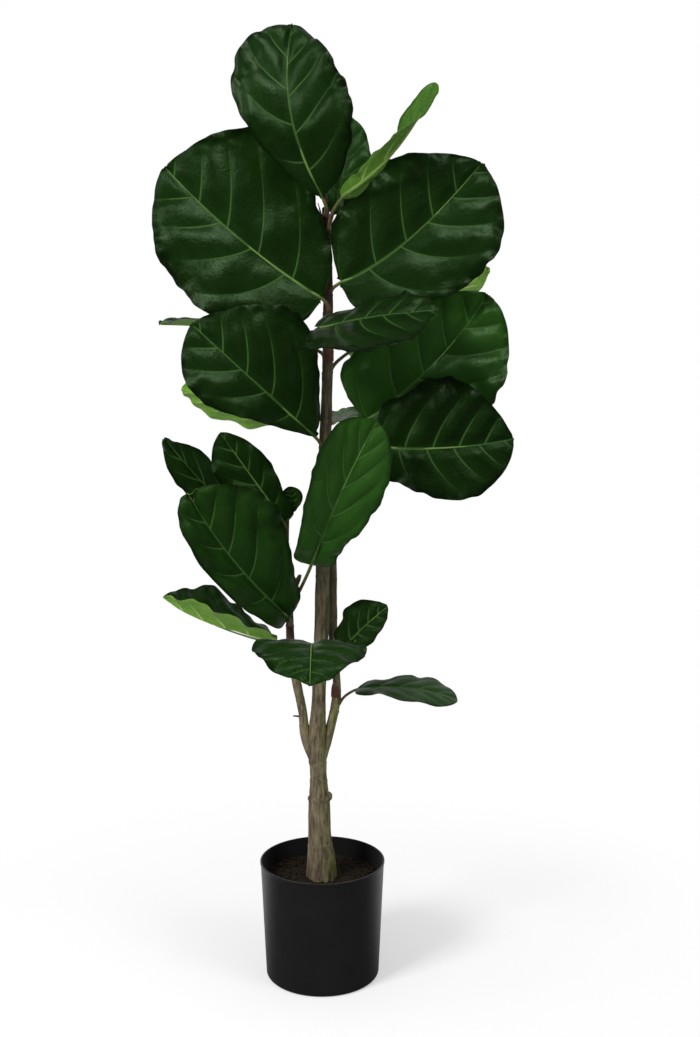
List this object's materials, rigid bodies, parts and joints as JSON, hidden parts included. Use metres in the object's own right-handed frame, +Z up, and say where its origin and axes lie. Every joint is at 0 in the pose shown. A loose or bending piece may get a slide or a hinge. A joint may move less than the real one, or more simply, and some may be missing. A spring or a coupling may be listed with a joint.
{
  "type": "potted fiddle leaf fig",
  "caption": "Tall branched fiddle leaf fig with broad wavy leaves, growing from soil in a plain round tapered pot.",
  "frame": {"origin": "centre of the pot's underside", "axes": "+Z up along the plant, -Y towards the front, +X to the plant's right as seen from the front"},
  "size_m": [0.4402, 0.2881, 1.197],
  "materials": {
    "pot": "satin",
    "soil": "matte",
    "bark": "matte",
    "leaf": "satin",
    "bract": "matte"
  },
  "bodies": {
    "root": {"pot": "pot", "soil": "soil", "trunk": "bark", "leaf_01": "leaf", "leaf_02": "leaf", "leaf_03": "leaf", "leaf_04": "leaf", "leaf_05": "leaf", "leaf_06": "leaf", "leaf_07": "leaf", "leaf_08": "leaf", "leaf_09": "leaf", "leaf_10": "leaf", "leaf_11": "leaf", "leaf_12": "leaf", "leaf_13": "leaf", "leaf_14": "leaf", "leaf_15": "leaf", "leaf_16": "leaf", "leaf_17": "leaf", "leaf_18": "leaf", "leaf_19": "leaf", "leaf_20": "leaf", "leaf_21": "leaf", "leaf_22": "leaf", "bract_left": "bract", "bract_right": "bract", "bract_middle": "bract", "bract_upper": "bract", "bud": "bract"}
  },
  "joints": []
}
